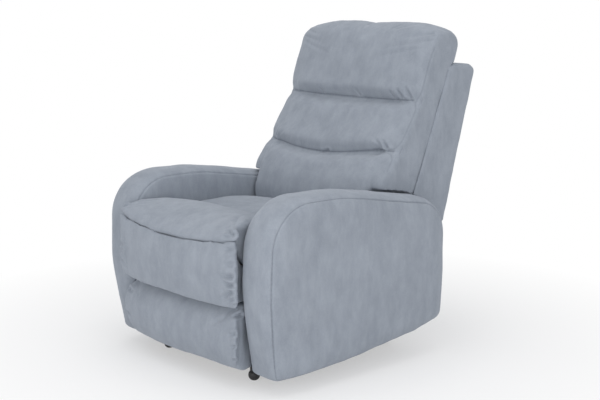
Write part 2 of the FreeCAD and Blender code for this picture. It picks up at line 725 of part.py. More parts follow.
def back_springs():
    """Sinuous springs across the back, between the posts."""
    springs = []
    up, inward = back_axes()
    tilt = math.degrees(math.atan2(up[0], up[1]))
    depth = back_cover + board + 40 + wire + 0.5
    half_span = back_half_width - back_post_inset - 16.0
    for rise in back_spring_rises:
        spring = zigzag(2 * half_span, 9, 20.0, wire)
        spring.translate(Vector(0, -half_span, 0))
        spring.rotate(Vector(0, 0, 0), Vector(0, 0, 1), 90)
        spring.rotate(Vector(0, 0, 0), Vector(1, 0, 0), 90 - tilt)
        spring.translate(Vector(0, *back_point(rise, depth)))
        springs.append(spring)
    return {"back_springs": Part.makeCompound(springs)}


def roll_point(radius, angle):
    """A point about the recline hinge, with the angle in degrees up from the rear."""
    return (pivot_y + radius * math.cos(math.radians(angle)),
            pivot_z + radius * math.sin(math.radians(angle)))


def lumbar_roll():
    """Rounded foot of the lumbar pad, which turns about the hinge behind the seat."""
    ring = rod_x(pivot_y, pivot_z, roll_radius, -cushion_half, cushion_half)
    ring = ring.cut(rod_x(pivot_y, pivot_z, roll_core, -cushion_half - 1, cushion_half + 1))
    reach = 2 * roll_radius
    wedge = sharp([(pivot_y, pivot_z), roll_point(reach, 108), roll_point(reach, 150),
                   roll_point(reach, 190)])
    return ring.common(plate(wedge, -cushion_half, cushion_half))


def pads():
    """Lumbar, middle and head pads, with the lumbar pad narrowed to drop between the arms."""
    pad_low = roll_point(roll_radius, 135)

    def split(z_front):
        front = (between(pad_low, pad_high, z_front), z_front)
        z_rear = z_front - 45
        return front, (between(back_joint_low, back_joint_high, z_rear), z_rear)

    half = back_half_width - back_cover
    rear_low = (between(back_joint_low, back_joint_high, pad_low[1] + 4) - 1, pad_low[1] + 4)
    low_front, low_rear = split(650.0)
    high_front, high_rear = split(808.0)
    step_back = 1.0

    def rear(point):
        return point[0] - step_back, point[1]

    wing_front = (between(pad_low, pad_high, 566.0), 566.0)
    lumbar = plate([(*pad_low, 0), (*low_front, 20), (*rear(low_rear), 0), (*rear_low, 0),
                    (*roll_point(roll_core, 108), 0)], -cushion_half, cushion_half)
    lumbar = lumbar.fuse(lumbar_roll())
    wings = plate([(*wing_front, 10), (*low_front, 20), (*rear(low_rear), 0), (*rear(back_joint_low), 0)],
                  -half, half)
    parts = {"lumbar_pad": lumbar.fuse(wings.cut(arm_envelope())).removeSplitter()}
    gap_low = [(low_front[0] + 1, low_front[1] + pad_gap), (low_rear[0] - step_back, low_rear[1] + pad_gap)]
    middle = plate([(*gap_low[0], 20), (*high_front, 20), (*rear(high_rear), 0), (*gap_low[1], 0)],
                   -half, half)
    parts["middle_pad"] = middle.cut(arm_envelope())
    start = [(high_front[0] + 1, high_front[1] + pad_gap), (high_rear[0] - step_back, high_rear[1] + pad_gap)]
    head_rear = (between(back_joint_low, back_joint_high, back_top_z) - step_back, back_top_z + 3)
    crown = headrest_top + 2
    parts["headrest_pad"] = plate([(*start[0], 20), (*pad_high, 60), (336.0, crown, 42), (414.0, crown, 50),
                                   (428.0, 975.0, 60), (410.0, back_top_z + 3, 10),
                                   (*head_rear, 0), (*start[1], 0)], -half, half)
    return parts


# ---------------------------------------------------------------- build
def build():
    parts = {}
    for group in (base, side_plates, arms, release, seat, seat_springs, linkage, footrest,
                  back_frame, back_springs, pads):
        parts.update(group())
    return parts


def main():
    os.makedirs("parts", exist_ok=True)
    for name, shape in build().items():
        solids = shape.Solids
        if not solids or not all(s.isValid() and s.Volume > 0 for s in solids):
            raise ValueError(f"{name} is not made of valid solids")
        Part.makeCompound(solids).exportStep(f"parts/{name}.step")
    print("wrote", len(os.listdir("parts")), "files")


if __name__ == "__main__":
    main()
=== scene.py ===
"""Looks of the recliner armchair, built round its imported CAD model. Metres, +Z up, the sitter faces -Y.

Side views are (y, z) points in millimetres, and an outline's corner is (y, z, radius). A soft piece is
built a little small, swollen as cloth, and then gets its seams, gathers and folds.
"""

import json
import math

import bmesh
import bpy
import numpy as np
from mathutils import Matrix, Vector, noise
from mathutils.kdtree import KDTree


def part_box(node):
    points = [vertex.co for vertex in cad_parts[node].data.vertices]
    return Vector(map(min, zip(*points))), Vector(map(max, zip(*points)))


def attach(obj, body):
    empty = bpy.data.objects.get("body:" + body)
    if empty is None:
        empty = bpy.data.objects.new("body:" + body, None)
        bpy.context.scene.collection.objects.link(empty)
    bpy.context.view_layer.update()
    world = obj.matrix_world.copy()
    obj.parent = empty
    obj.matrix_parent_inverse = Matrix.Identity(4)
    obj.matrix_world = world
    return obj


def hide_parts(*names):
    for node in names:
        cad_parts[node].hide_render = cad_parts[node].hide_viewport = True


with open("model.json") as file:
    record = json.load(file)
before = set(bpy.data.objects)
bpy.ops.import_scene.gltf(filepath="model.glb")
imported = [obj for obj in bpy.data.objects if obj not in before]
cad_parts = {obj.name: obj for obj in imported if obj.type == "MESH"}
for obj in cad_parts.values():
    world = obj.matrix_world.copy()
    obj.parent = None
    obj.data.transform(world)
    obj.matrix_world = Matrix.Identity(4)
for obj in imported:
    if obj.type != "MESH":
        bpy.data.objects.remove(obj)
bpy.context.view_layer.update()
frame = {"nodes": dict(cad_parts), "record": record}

# ---------------------------------------------------------------- sizes from the frame
arm_low, arm_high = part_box("arm_cover_left")
cup_low, cup_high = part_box("release_cup")
arm_inner, arm_outer = arm_low.x, arm_high.x
arm_front = arm_low.y - 0.002
arm_gap = 0.004             # between an arm and the back's soft parts
cushion_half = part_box("seat_cushion")[1].x - 0.001
back_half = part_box("headrest_pad")[1].x
cover_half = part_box("back_outer_cover")[1].x


def ramp(values, start, length):
    """0 before start and 1 past start + length. A negative length runs the other way."""
    return np.clip((values - start) / length, 0, 1)


def eased(share):
    return share * share * (3 - 2 * share)


# ---------------------------------------------------------------- outlines and meshes
def outline(corners, spacing=6.0):
    """Evenly spaced points, in metres, round a closed outline with an arc at each corner.
    Arcs that would run into each other are made smaller."""
    longest_share = 0.98
    steps = 12
    at = np.array([c[:2] for c in corners], float)
    count = len(at)
    before = np.roll(at, 1, axis=0) - at
    gap = np.linalg.norm(before, axis=1)
    before /= gap[:, None]
    after = -np.roll(before, -1, axis=0)
    turn = math.pi - np.arccos(np.clip(np.sum(before * after, axis=1), -1, 1))
    tangent = np.array([c[2] for c in corners], float) * np.tan(turn / 2)
    for i in range(count):
        both = tangent[i - 1] + tangent[i]
        if both > longest_share * gap[i]:
            tangent[i - 1] *= longest_share * gap[i] / both
            tangent[i] *= longest_share * gap[i] / both
    path = []
    for i in range(count):
        if tangent[i] <= 0 or turn[i] < 1e-3:
            path.append(at[i])
            continue
        radius = tangent[i] / math.tan(turn[i] / 2)
        inward = before[i] + after[i]
        centre = at[i] + inward / np.linalg.norm(inward) * radius / math.cos(turn[i] / 2)
        start = at[i] + before[i] * tangent[i] - centre
        sign = -1 if before[i][0] * after[i][1] - before[i][1] * after[i][0] > 0 else 1
        for k in range(steps + 1):
            a = sign * turn[i] * k / steps
            c, s = math.cos(a), math.sin(a)
            path.append(centre + np.array([c * start[0] - s * start[1], s * start[0] + c * start[1]]))
    path = np.array(path + path[:1])
    length = np.concatenate([[0], np.cumsum(np.linalg.norm(np.diff(path, axis=0), axis=1))])
    places = np.linspace(0, length[-1], max(8, round(length[-1] / spacing)), endpoint=False)
    return np.stack([np.interp(places, length, path[:, k]) for k in range(2)], axis=1) / 1000


def outward(flat):
    """Unit outward normals of a closed loop of points."""
    step = np.roll(flat, -1, axis=0) - np.roll(flat, 1, axis=0)
    normal = np.column_stack([step[:, 1], -step[:, 0]])
    normal /= np.linalg.norm(normal, axis=1)[:, None]
    area = np.sum(flat[:, 0] * np.roll(flat[:, 1], -1) - flat[:, 1] * np.roll(flat[:, 0], -1))
    return normal if area > 0 else -normal


def make_mesh(name, verts, faces, material):
    mesh = bpy.data.meshes.new(name)
    mesh.from_pydata([tuple(v) for v in verts], [], faces)
    mesh.validate()
    piece = bpy.data.objects.new(name, mesh)
    bpy.context.scene.collection.objects.link(piece)
    mesh.materials.append(material)
    mesh.polygons.foreach_set("use_smooth", [True] * len(mesh.polygons))
    return piece


def rings_mesh(name, rings, material):
    """A closed skin through rings of points, each with as many points, with a flat face at both ends."""
    count = len(rings[0])
    faces = []
    for r in range(len(rings) - 1):
        for i in range(count):
            j = (i + 1) % count
            faces.append((r * count + i, r * count + j, (r + 1) * count + j, (r + 1) * count + i))
    last = (len(rings) - 1) * count
    faces.append(tuple(reversed(range(count))))
    faces.append(tuple(range(last, last + count)))
    piece = make_mesh(name, np.concatenate(list(rings)), faces, material)
    if signed_volume(piece) < 0:
        piece.data.flip_normals()
    return piece


def signed_volume(piece):
    piece.data.calc_loop_triangles()
    co = coords(piece)
    tri = np.empty(len(piece.data.loop_triangles) * 3, np.int32)
    piece.data.loop_triangles.foreach_get("vertices", tri)
    a, b, c = (co[tri.reshape(-1, 3)[:, k]] for k in range(3))
    return float(np.sum(a * np.cross(b, c)))


def loft(name, middle, side, half, edge, material, power=2.0):
    """A side view over x from -half to half that turns from middle to side, its two ends rounded by edge."""
    a, b = np.array(middle, float), np.array(side, float)
    steps = 7 if edge > 0 else 0
    turns = [math.sin(math.pi / 2 * k / steps) for k in range(steps, 0, -1)]
    flat_xs = np.linspace(-(half - edge), half - edge, 61)
    places = [(-half + edge - edge * s, s) for s in turns] + [(x, 0.0) for x in flat_xs]
    places += [(half - edge + edge * s, s) for s in reversed(turns)]
    count = len(outline(a.tolist()))
    rings = []
    for x, s in places:
        share = min(1.0, abs(x) / half) ** power
        loop = outline((a + (b - a) * share).tolist())
        at = np.linspace(0, len(loop), count, endpoint=False)
        loop = np.stack([np.interp(at, np.arange(len(loop) + 1), np.append(loop[:, k], loop[0, k]))
                         for k in range(2)], axis=1)
        inset = edge * (1 - math.sqrt(max(0.0, 1 - s * s)))
        loop = loop - outward(loop) * inset
        rings.append(np.column_stack([np.full(count, x), loop]))
    return rings_mesh(name, rings, material)


def coords(piece):
    co = np.empty(len(piece.data.vertices) * 3, np.float32)
    piece.data.vertices.foreach_get("co", co)
    return co.reshape(-1, 3).astype(float)


def set_coords(piece, co):
    piece.data.vertices.foreach_set("co", np.asarray(co, np.float32).ravel())
    piece.data.update()


def normals_of(piece):
    n = np.empty(len(piece.data.vertices) * 3, np.float32)
    piece.data.vertices.foreach_get("normal", n)
    return n.reshape(-1, 3).astype(float)


def apply_modifiers(piece):
    graph = bpy.context.evaluated_depsgraph_get()
    mesh = bpy.data.meshes.new_from_object(piece.evaluated_get(graph))
    old = piece.data
    piece.modifiers.clear()
    piece.data = mesh
    bpy.data.meshes.remove(old)
    mesh.polygons.foreach_set("use_smooth", [True] * len(mesh.polygons))


def remesh(piece, voxel=0.005):
    mod = piece.modifiers.new("remesh", "REMESH")
    mod.mode = "VOXEL"
    mod.voxel_size = voxel
    apply_modifiers(piece)


def refine(piece):
    mod = piece.modifiers.new("refine", "SUBSURF")
    mod.levels = mod.render_levels = 1
    apply_modifiers(piece)


def relax(piece, rounds, factor=0.5):
    mod = piece.modifiers.new("relax", "SMOOTH")
    mod.iterations = rounds
    mod.factor = factor
    apply_modifiers(piece)


def cut_away(piece, tool):
    """Cuts the tool's space out of the piece, and removes the tool."""
    mod = piece.modifiers.new("cut", "BOOLEAN")
    mod.operation = "DIFFERENCE"
    mod.solver = "EXACT"
    mod.object = tool
    apply_modifiers(piece)
    bpy.data.objects.remove(tool)


def merge(piece, other):
    """Puts the other's skin into the piece; the next remesh makes them one."""
    both = bmesh.new()
    both.from_mesh(piece.data)
    both.from_mesh(other.data)
    both.to_mesh(piece.data)
    both.free()
    bpy.data.objects.remove(other)


# ---------------------------------------------------------------- cloth
cloth_frames = 20


def swell(piece, hold, pressure, cap):
    """Swells a padded piece as cloth. hold gives each vertex's pin, from 0 free to 1 fixed, and no
    vertex moves further than cap."""
    start = coords(piece)
    group = piece.vertex_groups.new(name="hold")
    levels = np.round(hold, 1)
    for weight in np.unique(levels):
        if weight > 0:
            group.add([int(i) for i in np.nonzero(levels == weight)[0]], float(weight), "REPLACE")
    mod = piece.modifiers.new("cloth", "CLOTH")
    cloth = mod.settings
    cloth.quality = 4
    cloth.mass = 0.3
    cloth.tension_stiffness = cloth.compression_stiffness = 15
    cloth.shear_stiffness = 5
    cloth.bending_stiffness = 0.5
    cloth.use_pressure = True
    cloth.uniform_pressure_force = pressure
    cloth.effector_weights.gravity = 0
    cloth.vertex_group_mass = "hold"
    mod.collision_settings.use_collision = False
    scene = bpy.context.scene
    for f in range(1, cloth_frames + 1):
        scene.frame_set(f)
    graph = bpy.context.evaluated_depsgraph_get()
    swollen = piece.evaluated_get(graph)
    co = np.empty(len(swollen.data.vertices) * 3, np.float32)
    swollen.data.vertices.foreach_get("co", co)
    move = co.reshape(-1, 3).astype(float) - start
    length = np.linalg.norm(move, axis=1)
    scale = cap * np.tanh(length / cap) / np.maximum(length, 1e-9)
    piece.modifiers.clear()
    piece.vertex_groups.clear()
    set_coords(piece, start + move * scale[:, None])
    scene.frame_set(1)


# ---------------------------------------------------------------- seams, gathers and folds
seam_shade_width = 0.0024         # of the line of painted shade along a seam
ahead_of_all = -0.7         # y of a place in front of every piece


def dense(path, spacing=0.003):
    """A path, given in metres, with points at most spacing apart."""
    path = np.asarray(path, float)
    length = np.concatenate([[0], np.cumsum(np.linalg.norm(np.diff(path, axis=0), axis=1))])
    at = np.linspace(0, length[-1], max(2, int(length[-1] / spacing)))
    return np.stack([np.interp(at, length, path[:, k]) for k in range(3)], axis=1)


def nearest(points, path):
    """Each point's distance to the path, and how far along the path that is, from 0 to 1."""
    tree = KDTree(len(path))
    for i, p in enumerate(path):
        tree.insert(p, i)
    tree.balance()
    found = [tree.find(p) for p in points]
    along = np.array([f[1] for f in found]) / max(1, len(path) - 1)
    return np.array([f[2] for f in found]), along


def near_box(points, path, margin):
    """Indices of the points inside the path's box grown by margin."""
    inside = (points > path.min(0) - margin) & (points < path.max(0) + margin)
    return np.nonzero(np.all(inside, axis=1))[0]


def seam_shade_mark(piece):
    """The painted seam shade of each vertex so far, 0 where no seam is."""
    found = piece.data.attributes.get("seam_shade") or piece.data.attributes.new("seam_shade", "FLOAT", "POINT")
    old = np.zeros(len(piece.data.vertices), np.float32)
    found.data.foreach_get("value", old)
    return old


def sew(piece, path, depth=0.003, width=0.004, shoulder=0.0, reach=0.018, painted_shade=1.0):
    """Pulls the skin in along a seam, with a wider shoulder, and stores a line of painted shade along the
    seam for the material.
    """
    co = coords(piece)
    path = dense(path)
    distance = np.full(len(co), 1.0)
    close = near_box(co, path, 0.08)
    if len(close) == 0:
        return
    distance[close], _ = nearest(co[close], path)
    pull = depth * np.exp(-(distance / width) ** 2) + shoulder * np.exp(-(distance / reach) ** 2)
    set_coords(piece, co - normals_of(piece) * pull[:, None])
    # painted shade along the seam: a per-vertex value that darkens the fabric in the seam groove
    old = seam_shade_mark(piece)
    line = painted_shade * np.exp(-(distance / seam_shade_width) ** 2)
    piece.data.attributes["seam_shade"].data.foreach_set("value", np.maximum(old, line).astype(np.float32))


def folds(piece, lines):
    """Short folds in the front fabric, each (start, end, depth, width) in mm with ends given as (x, z).
    A fold is deepest at its start and fades toward its end."""
    co = coords(piece)
    normal = normals_of(piece)
    push = np.zeros(len(co))
    for start, end, depth, width in lines:
        steps = np.linspace(np.array(start) / 1000, np.array(end) / 1000, 8)
        path = skin_path(piece, [(x, ahead_of_all, z) for x, z in steps], (0, 1, 0))
        if len(path) < 2:
            continue
        path = dense(path, 0.002)
        close = near_box(co, path, 0.04)
        if len(close) == 0:
            continue
        distance, along = nearest(co[close], path)
        taper = np.cos(np.pi / 2 * along)
        w = width / 1000
        bank = 0.45 * np.exp(-((distance - 2.1 * w) / w) ** 2)
        groove = np.exp(-(distance / w) ** 2) - bank
        push[close] -= depth / 1000 * taper * groove
    set_coords(piece, co + normal * push[:, None])


def spill(piece, amount):
    """Pads are wider ahead of the arms, where nothing holds their ends in."""
    co = coords(piece)
    ahead = eased(ramp(co[:, 1], arm_front, -0.030))
    ends = ramp(np.abs(co[:, 0]), 0.14, 0.12)
    co[:, 0] += np.sign(co[:, 0]) * amount * ahead * ends
    set_coords(piece, co)


def wrinkle(piece, seed, height, scale, stretch=(1, 1, 1), mask=None):
    """Low uneven rises of the fabric, as noise along the normals."""
    co = coords(piece)
    at = co * scale * np.array(stretch) + np.array([seed * 3.7, seed * 1.3, seed * 2.1])
    rise = np.array([noise.noise(p) for p in at]) * height
    if mask is not None:
        rise *= mask
    set_coords(piece, co + normals_of(piece) * rise[:, None])


def skin_path(piece, places, direction):
    """Where lines from (x, y, z) places, along the direction, first meet the piece's skin."""
    bpy.context.view_layer.update()
    path = []
    for place in places:
        hit, where, _, _ = piece.ray_cast(Vector(place), Vector(direction))
        if hit:
            path.append(tuple(where))
    return np.array(path)


# ---------------------------------------------------------------- materials
def node_tree(name):
    material = bpy.data.materials.new(name)
    material.use_nodes = True
    tree = material.node_tree
    return material, tree, tree.nodes["Principled BSDF"]


def noise_node(tree, position, scale, detail=2.0, roughness=0.5):
    node = tree.nodes.new("ShaderNodeTexNoise")
    node.inputs["Scale"].default_value = scale
    node.inputs["Detail"].default_value = detail
    node.inputs["Roughness"].default_value = roughness
    tree.links.new(position, node.inputs["Vector"])
    return node.outputs["Fac"]


def mix_colour(tree, factor, a, b):
    node = tree.nodes.new("ShaderNodeMix")
    node.data_type = "RGBA"
    sockets = {s.identifier: s for s in node.inputs}
    for name, value in (("Factor_Float", factor), ("A_Color", a), ("B_Color", b)):
        if isinstance(value, bpy.types.NodeSocket):
            tree.links.new(value, sockets[name])
        else:
            sockets[name].default_value = value
    return {s.identifier: s for s in node.outputs}["Result_Color"]


def spread(tree, value, low, high, to_low=0.0, to_high=1.0):
    """Stretches value so that low becomes to_low and high becomes to_high."""
    node = tree.nodes.new("ShaderNodeMapRange")
    node.inputs["From Min"].default_value = low
    node.inputs["From Max"].default_value = high
    node.inputs["To Min"].default_value = to_low
    node.inputs["To Max"].default_value = to_high
    tree.links.new(value, node.inputs["Value"])
    return node.outputs["Result"]


def add_bump(tree, shader, layers):
    """Bumps one on another. Each layer is (height socket, strength, distance)."""
    normal = None
    for height, strength, distance in layers:
        node = tree.nodes.new("ShaderNodeBump")
        node.inputs["Strength"].default_value = strength
        node.inputs["Distance"].default_value = distance
        tree.links.new(height, node.inputs["Height"])
        if normal is not None:
            tree.links.new(normal, node.inputs["Normal"])
        normal = node.outputs["Normal"]
    tree.links.new(normal, shader.inputs["Normal"])


def velour():
    """Pale blue-grey brushed fabric: mottled nap, fine weave, soft sheen, and painted shade along the seams.
    """
    material, tree, shader = node_tree("velour")
    place = tree.nodes.new("ShaderNodeTexCoord").outputs["Object"]
    stretched = tree.nodes.new("ShaderNodeMapping")
    stretched.inputs["Scale"].default_value = (1.0, 1.0, 0.45)
    tree.links.new(place, stretched.inputs["Vector"])
    nap = noise_node(tree, stretched.outputs["Vector"], 30, 5, 0.65)
    clouds = noise_node(tree, place, 9, 3)
    speckle = noise_node(tree, place, 420, 2, 0.6)
    weave = tree.nodes.new("ShaderNodeTexWave")
    weave.inputs["Scale"].default_value = 220
    weave.inputs["Distortion"].default_value = 3.0
    weave.inputs["Detail"].default_value = 2.0
    weave.inputs["Detail Scale"].default_value = 8.0
    tree.links.new(place, weave.inputs["Vector"])
    dark = (0.236, 0.263, 0.305, 1)
    light = (0.338, 0.369, 0.418, 1)
    colour = mix_colour(tree, spread(tree, nap, 0.33, 0.67), dark, light)
    shade = mix_colour(tree, spread(tree, clouds, 0.3, 0.7), dark, light)
    colour = mix_colour(tree, 0.35, colour, shade)
    grain = mix_colour(tree, spread(tree, speckle, 0.35, 0.65), dark, light)
    colour = mix_colour(tree, 0.25, colour, grain)
    # painted shade in the seam grooves: the per-vertex seam value darkens the fabric toward a dark blue-grey
    seam_shade = tree.nodes.new("ShaderNodeAttribute")
    seam_shade.attribute_name = "seam_shade"
    strength = spread(tree, seam_shade.outputs["Fac"], 0.0, 1.0, 0.0, 0.62)
    colour = mix_colour(tree, strength, colour, (0.075, 0.088, 0.108, 1))
    tree.links.new(colour, shader.inputs["Base Color"])
    shader.inputs["Roughness"].default_value = 0.92
    shader.inputs["Specular IOR Level"].default_value = 0.15
    shader.inputs["Sheen Weight"].default_value = 0.3
    shader.inputs["Sheen Roughness"].default_value = 0.45
    shader.inputs["Sheen Tint"].default_value = (0.85, 0.89, 0.95, 1)
    add_bump(tree, shader, [(speckle, 0.35, 0.0012), (weave.outputs["Fac"], 0.12, 0.0008),
                            (nap, 0.25, 0.004)])
    return material


def moulded(name, colour, roughness, metallic=0.0):
    """Fine-grained plastic, paint or plating, with faint scuffs that also change the gloss."""
    material, tree, shader = node_tree(name)
    place = tree.nodes.new("ShaderNodeTexCoord").outputs["Object"]
    grain = noise_node(tree, place, 900, 3)
    scuff = noise_node(tree, place, 45, 4)
    lighter = tuple(min(1.0, c * 1.6 + 0.01) for c in colour) + (1,)
    shade = mix_colour(tree, spread(tree, scuff, 0.4, 0.75), (*colour, 1), lighter)
    tree.links.new(shade, shader.inputs["Base Color"])
    tree.links.new(spread(tree, scuff, 0.2, 0.8, roughness - 0.08, roughness + 0.12),
                   shader.inputs["Roughness"])
    shader.inputs["Metallic"].default_value = metallic
    add_bump(tree, shader, [(grain, 0.15, 0.0004)])
    return material


def timber():
    """Pale sawn softwood with long grain."""
    material, tree, shader = node_tree("timber")
    place = tree.nodes.new("ShaderNodeTexCoord").outputs["Object"]
    along = tree.nodes.new("ShaderNodeMapping")
    along.inputs["Scale"].default_value = (3.0, 60.0, 60.0)
    tree.links.new(place, along.inputs["Vector"])
    grain = noise_node(tree, along.outputs["Vector"], 1.6, 6, 0.6)
    pores = noise_node(tree, along.outputs["Vector"], 9, 3)
    colour = mix_colour(tree, spread(tree, grain, 0.3, 0.7), (0.36, 0.21, 0.10, 1), (0.60, 0.42, 0.24, 1))
    colour = mix_colour(tree, spread(tree, pores, 0.62, 0.8), colour, (0.2, 0.11, 0.05, 1))
    tree.links.new(colour, shader.inputs["Base Color"])
    shader.inputs["Roughness"].default_value = 0.62
    add_bump(tree, shader, [(grain, 0.25, 0.0006)])
    return material


fabric = velour()
slot_materials = {
    "upholstery": fabric,
    "timber": timber(),
    "black_steel": moulded("black_steel", (0.025, 0.025, 0.028), 0.42, 0.3),
    "zinc": moulded("zinc", (0.52, 0.53, 0.55), 0.34, 0.95),
    "black_plastic": moulded("black_plastic", (0.012, 0.012, 0.014), 0.5),
}


def dress_cad_nodes():
    slots = {entry["node"]: entry["material_slot"] for entry in frame["record"]["subparts"]}
    for name, node in frame["nodes"].items():
        material = slot_materials[slots[name]]
        if not node.material_slots:
            node.data.materials.append(material)
        for place in node.material_slots:
            place.material = material


def finish_soft(piece, body, nodes):
    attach(piece, body)
    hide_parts(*nodes)


# ---------------------------------------------------------------- arms
arm_corners = [(-419, 48, 12), (-452, 300, 420), (-438, 561, 140), (-170, 562, 500), (284, 490, 125),
               (280, 118, 34), (150, 88, 200), (-180, 58, 900)]
arm_crown = 0.016


def arm_envelope(side, gap):
    """The space of one arm with a gap round it, which the back is cut to clear."""
    flat = outline(arm_corners)
    flat = flat + outward(flat) * (arm_crown + gap)
    past_arm = arm_outer + 0.03
    rings = [np.column_stack([np.full(len(flat), side * x), flat]) for x in (arm_inner - gap, past_arm)]
    return rings_mesh("envelope", rings, fabric)


def arm(name, side):
    """One arm: a crowned band round the edge, between two softly filled panels."""
    flat = outline(arm_corners)
    out = outward(flat)
    middle_x = (arm_inner + arm_outer) / 2
    seam_half = (arm_outer - arm_inner) / 2 - 0.004
    low = ramp(flat[:, 1], 0.16, -0.10)
    front_low = ramp(flat[:, 0], -0.33, -0.10) * ramp(flat[:, 1], 0.30, -0.22)
    band = []
    for u in np.linspace(-1, 1, 29):
        rise = arm_crown * (1 - abs(u) ** 2.8) * (1 - 0.8 * low)
        x = u * seam_half - 0.020 * front_low * (u + 1) / 2
        band.append(np.column_stack([middle_x + x, flat + out * rise[:, None]]))
    centre = np.array([-0.085, 0.300])
    panel_shares = (0.985, 0.965, 0.94, 0.90, 0.84, 0.76, 0.66, 0.52, 0.36, 0.18)
    panel_rise = 0.012
    outer, inner = [], []
    for s in panel_shares:
        ring = centre + (flat - centre) * s
        bulge = panel_rise * (1 - s ** 8)
        tuck = 0.020 * front_low * s ** 4
        outer.append(np.column_stack([middle_x + seam_half - tuck + bulge, ring]))
        inner.append(np.column_stack([np.full(len(ring), middle_x - seam_half - bulge * 0.25), ring]))
    piece = rings_mesh(name, inner[::-1] + band + outer, fabric)
    seams = [np.vstack([path, path[:1]]) for path in (band[0], band[-1])]
    if side < 0:
        co = coords(piece)
        set_coords(piece, co * np.array([-1, 1, 1]))
        piece.data.flip_normals()
        seams = [path * np.array([-1, 1, 1]) for path in seams]
        remesh(piece)
        cut_away(piece, pocket())
    remesh(piece)
    relax(piece, 2)
    refine(piece)
    for path in seams:
        sew(piece, path, depth=0.0034, width=0.0040, shoulder=0.0022)
    away = np.ones(len(piece.data.vertices))
    if side < 0:
        away = settle_round_cup(piece)
    wrinkle(piece, 1 + side, 0.0040, 5.0, mask=away)
    wrinkle(piece, 5 + side, 0.0012, 24.0, (1, 1, 0.6), mask=away)
    return piece


def pocket():
    """The hole in the right arm's outer panel, hidden under the rim of the release cup."""
    x0, x1 = cup_low.x - 0.03, cup_high.x + 0.004
    rim = 0.005
    y0, y1, z0, z1 = cup_low.y + rim, cup_high.y - rim, cup_low.z + rim, cup_high.z - rim
    ring = np.array([(y0, z0), (y1, z0), (y1, z1), (y0, z1)])
    return rings_mesh("pocket", [np.column_stack([np.full(4, x), ring]) for x in (x0, x1)], fabric)


def settle_round_cup(piece):
    """Draws the outer panel in to the cup's rim, and says how far each vertex is from it, 0 to 1."""
    co = coords(piece)
    dy = np.maximum(0, np.maximum(cup_low.y - co[:, 1], co[:, 1] - cup_high.y))
    dz = np.maximum(0, np.maximum(cup_low.z - co[:, 2], co[:, 2] - cup_high.z))
    away = eased(np.clip(np.hypot(dy, dz) / 0.06, 0, 1))
    face = co[:, 0] < cup_high.x - 0.012
    rim_x = cup_low.x + 0.0015
    settled = rim_x + (co[:, 0] - rim_x) * away
    co[face, 0] = np.maximum(co[face, 0], settled[face])
    set_coords(piece, co)
    return away


# ---------------------------------------------------------------- seat
pad_spill = 0.026           # of the seat and the upper leg rest pad over an arm's front
lower_spill = 0.024         # and of the lower leg rest pad


def seat_seam(x):
    """y of the seam across the seat, which bows forward in the middle."""
    return -0.229 - 0.012 * (1 - (x / cushion_half) ** 2)


def tip_line(x, middle, rise):
    """Height of the line where the seat meets the leg rest, which rises toward both ends."""
    return middle + rise * np.minimum(1, np.abs(x / cushion_half)) ** 3


def seat():
    middle = [(50, 374, 10), (-427, 372, 14), (-468, 403, 24), (-512, 441, 3), (-503, 462, 16),
              (-446, 494, 90), (-330, 499, 120), (-229, 473, 160), (-60, 474, 200), (52, 462, 14)]
    side = [(50, 374, 10), (-424, 372, 14), (-458, 415, 20), (-486, 474, 3), (-480, 490, 14),
            (-440, 502, 60), (-330, 497, 120), (-229, 465, 160), (-60, 466, 200), (52, 454, 14)]
    piece = loft("seat_pad", middle, side, cushion_half, 0.012, fabric, power=3.0)
    remesh(piece)
    relax(piece, 2)
    spill(piece, pad_spill)
    x, y, z = coords(piece).T
    top = ramp(z, 0.425, 0.02)
    line = np.exp(-((y - seat_seam(x)) / 0.014) ** 2)
    tip = ramp(y, -0.40, -0.02) * ramp(z, tip_line(x, 0.441, 0.033) + 0.006, -0.006)
    hold = np.maximum.reduce([1 - top, line, tip, ramp(y, 0.02, 0.02)])
    swell(piece, hold, pressure=4.0, cap=0.020)
    refine(piece)
    above_all = 2.0
    places = [(at, seat_seam(at), above_all) for at in np.linspace(-0.262, 0.262, 60)]
    sew(piece, skin_path(piece, places, (0, 0, -1)), depth=0.0030, width=0.0045,
        shoulder=0.006, reach=0.030)
    wrinkle(piece, 11, 0.0035, 7.0)
    wrinkle(piece, 12, 0.0012, 26.0)
    folds(piece, [((292, 484), (254, 502), 10, 5), ((292, 476), (246, 481), 11, 5),
                  ((290, 470), (240, 464), 8, 5), ((-290, 478), (-256, 488), 6, 5)])
    finish_soft(piece, "seat", ["seat_cushion"])


# ---------------------------------------------------------------- leg rest
def upper_pad():
    middle = [(-397, 262, 3), (-397, 362, 4), (-430, 365, 16), (-471, 397, 24), (-510, 439, 2),
              (-511, 400, 60), (-511, 300, 40), (-500, 248, 12), (-452, 258, 10)]
    side = [(-397, 262, 3), (-397, 362, 4), (-426, 366, 14), (-461, 410, 20), (-485, 472, 2),
            (-490, 400, 60), (-494, 300, 50), (-484, 255, 12), (-446, 262, 10)]
    piece = loft("legrest_upper", middle, side, cushion_half, 0.014, fabric, power=3.0)
    remesh(piece)
    relax(piece, 2)
    spill(piece, pad_spill)
    x, y, z = coords(piece).T
    front = ramp(y, -0.425, -0.02)
    under = ramp(z, 0.266, -0.006)
    tip = ramp(z, tip_line(x, 0.438, 0.031) - 0.012, 0.008)
    swell(piece, np.maximum.reduce([1 - front, under, tip]), pressure=4.0, cap=0.014)
    refine(piece)
    wrinkle(piece, 21, 0.0040, 7.0)
    wrinkle(piece, 22, 0.0014, 26.0)
    lines = [((290, 354), (226, 349), 9, 6), ((290, 324), (238, 344), 9, 6),
             ((290, 312), (236, 276), 10, 6), ((290, 290), (246, 266), 8, 6),
             ((290, 272), (262, 260), 6, 5), ((288, 434), (246, 425), 6, 6), ((288, 390), (252, 381), 6, 6)]
    right = [((-x0, z0 + 6), (-x1, z1 + 9), 0.5 * d, w) for (x0, z0), (x1, z1), d, w in lines[:3]]
    folds(piece, lines + right)
    finish_soft(piece, "footrest", ["footrest_upper_pad"])


